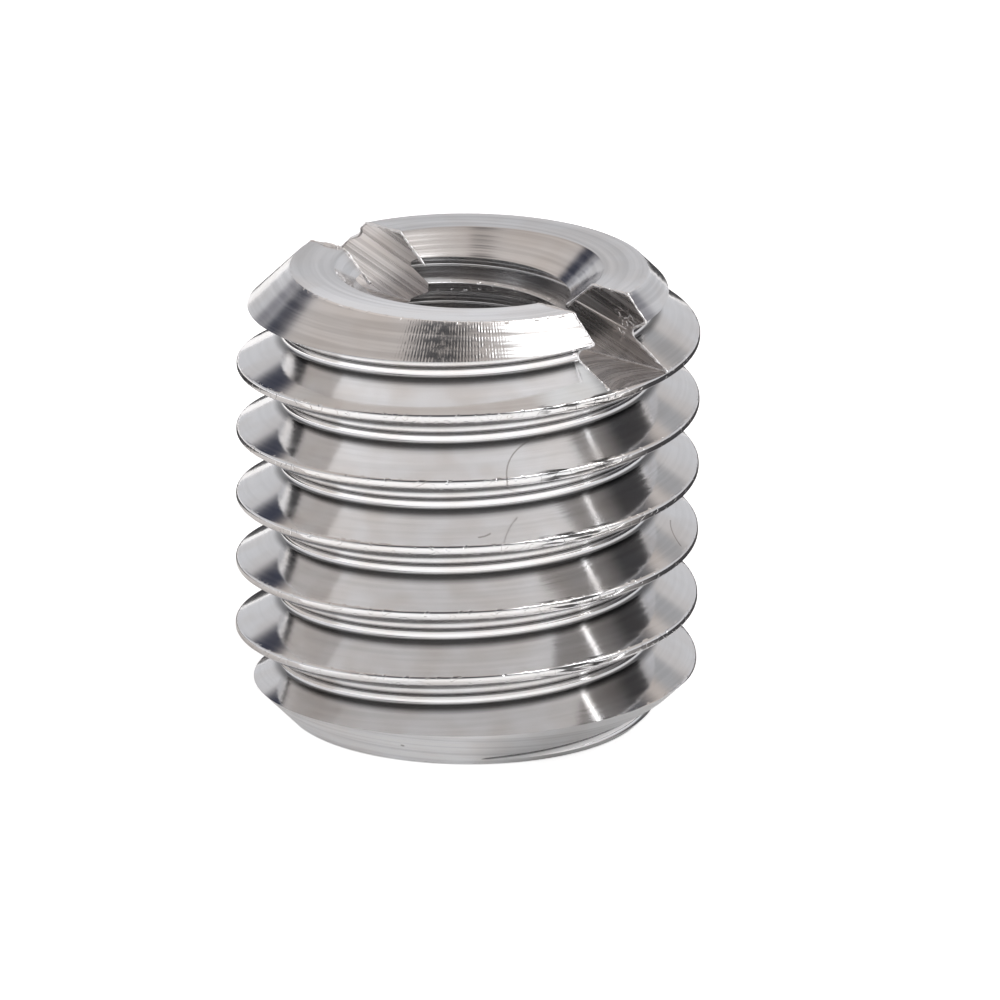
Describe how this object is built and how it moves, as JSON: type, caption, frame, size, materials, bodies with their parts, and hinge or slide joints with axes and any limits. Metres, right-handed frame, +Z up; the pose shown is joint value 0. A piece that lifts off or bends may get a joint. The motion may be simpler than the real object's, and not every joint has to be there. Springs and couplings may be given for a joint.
{
  "type": "threaded insert",
  "caption": "Cylindrical screw-in insert with a coarse outside thread, a smaller threaded through bore, chamfered ends and a driver slot cut across the top face.",
  "frame": {"origin": "centre of the bottom face, where the insert rests on its unslotted end", "axes": "+Z up the common axis of both threads to the slotted face, +X along the driver slot, +Y across the slot"},
  "size_m": [0.0118, 0.0118, 0.0119],
  "materials": {
    "steel": "bright turned stainless steel"
  },
  "bodies": {
    "root": {"insert": "steel"}
  },
  "joints": []
}
